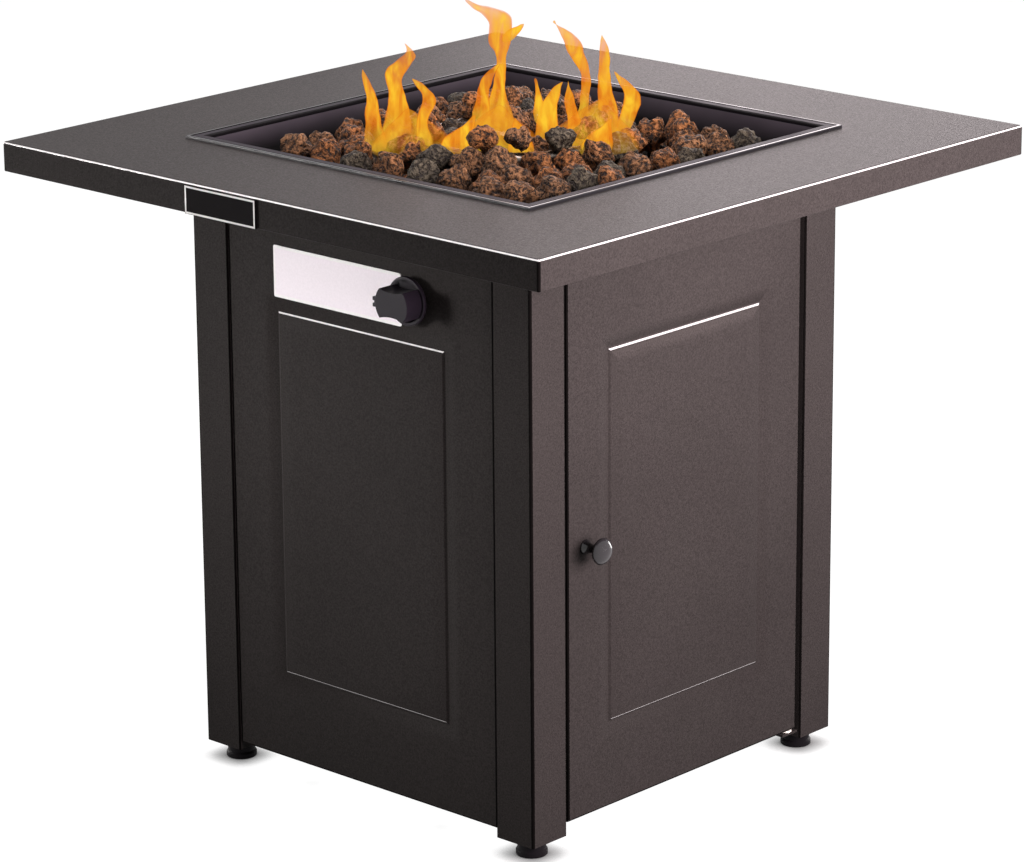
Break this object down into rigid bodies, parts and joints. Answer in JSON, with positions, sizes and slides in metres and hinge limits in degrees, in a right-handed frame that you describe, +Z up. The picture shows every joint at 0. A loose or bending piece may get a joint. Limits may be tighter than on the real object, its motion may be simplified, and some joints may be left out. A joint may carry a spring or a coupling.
{
  "type": "gas fire pit table",
  "caption": "Square steel table with a gas burner and lava rocks in its top, over a cabinet with a hinged door for the gas bottle and a push-and-turn knob.",
  "frame": {"origin": "on the floor, under the centre of the tabletop", "axes": "+Z up, -Y towards the control panel, +X towards the door"},
  "size_m": [0.711, 0.7135, 0.6716],
  "materials": {
    "top_coat": "fine-textured charcoal powder coat",
    "body_coat": "fine-textured charcoal powder coat",
    "pan_enamel": "semi-gloss black enamel",
    "burner_steel": "brushed, heat-tinted",
    "zinc_steel": "zinc plated",
    "black_steel": "black oxide",
    "brass": "turned",
    "valve_alloy": "die cast",
    "knob_plastic": "gloss black",
    "pull_enamel": "gloss black",
    "plate_white": "satin white film",
    "badge_black": "gloss black with a pale border",
    "foot_rubber": "matt black",
    "nylon": "natural",
    "catch_plastic": "moulded, with a magnet inside",
    "piezo_plastic": "moulded",
    "electrode_ceramic": "unglazed white",
    "lead_jacket": "red silicone",
    "lava_rust": "porous",
    "lava_brown": "porous"
  },
  "bodies": {
    "table": {"tabletop": "top_coat", "rail_front": "body_coat", "rail_right": "body_coat", "rail_rear": "body_coat", "rail_left": "body_coat", "post_front_left": "body_coat", "post_front_right": "body_coat", "post_rear_right": "body_coat", "post_rear_left": "body_coat", "control_panel": "body_coat", "rear_panel": "body_coat", "left_panel": "body_coat", "door_header": "body_coat", "base_shelf": "body_coat", "pivot_bracket": "body_coat", "burner_pan": "pan_enamel", "burner_ring": "burner_steel", "burner_stem": "burner_steel", "air_mixer": "burner_steel", "heat_shield": "burner_steel", "shield_standoffs": "burner_steel", "electrode_bracket": "burner_steel", "valve_bracket": "burner_steel", "gas_tube": "burner_steel", "catch_bolt": "zinc_steel", "shield_screws": "zinc_steel", "panel_bolts": "zinc_steel", "shelf_bolts": "zinc_steel", "nuts": "zinc_steel", "foot_nuts": "zinc_steel", "return_spring": "zinc_steel", "rail_bolts": "black_steel", "gas_orifice": "brass", "tube_nut": "brass", "inlet_fitting": "brass", "burner_lock_nut": "brass", "valve_body": "valve_alloy", "instruction_plate": "plate_white", "badge_plate": "badge_black", "foot_front_left": "foot_rubber", "foot_front_right": "foot_rubber", "foot_rear_right": "foot_rubber", "foot_rear_left": "foot_rubber", "washer_lower": "nylon", "magnet_catch": "catch_plastic", "piezo_igniter": "piezo_plastic", "spark_electrode": "electrode_ceramic", "igniter_lead": "lead_jacket", "lava_rocks_lower": "lava_rust", "lava_rocks_upper": "lava_brown"},
    "door_leaf": {"door": "body_coat", "door_knob": "pull_enamel", "door_knob_screw": "zinc_steel", "door_pin_upper": "zinc_steel", "door_pin_lower": "zinc_steel", "washer_upper": "nylon", "strike_plate": "zinc_steel"},
    "plug": {"valve_plug": "brass"},
    "knob": {"control_knob": "knob_plastic", "valve_spindle": "zinc_steel"}
  },
  "joints": [
    {"name": "door_swing", "type": "hinge", "parent": "table", "child": "door_leaf", "pos_m": [0.217, 0.165, 0.3], "axis": [0, 0, 1], "range_deg": [0, 105]},
    {"name": "knob_turn", "type": "hinge", "parent": "table", "child": "plug", "pos_m": [0.073, -0.2235, 0.534], "axis": [0, -1, 0], "range_deg": [-90, 90]},
    {"name": "knob_push", "type": "slide", "parent": "plug", "child": "knob", "axis": [0, 1, 0], "range_m": [0, 0.004], "stiffness_N_per_m": 1500, "springref_m": -0.002}
  ]
}
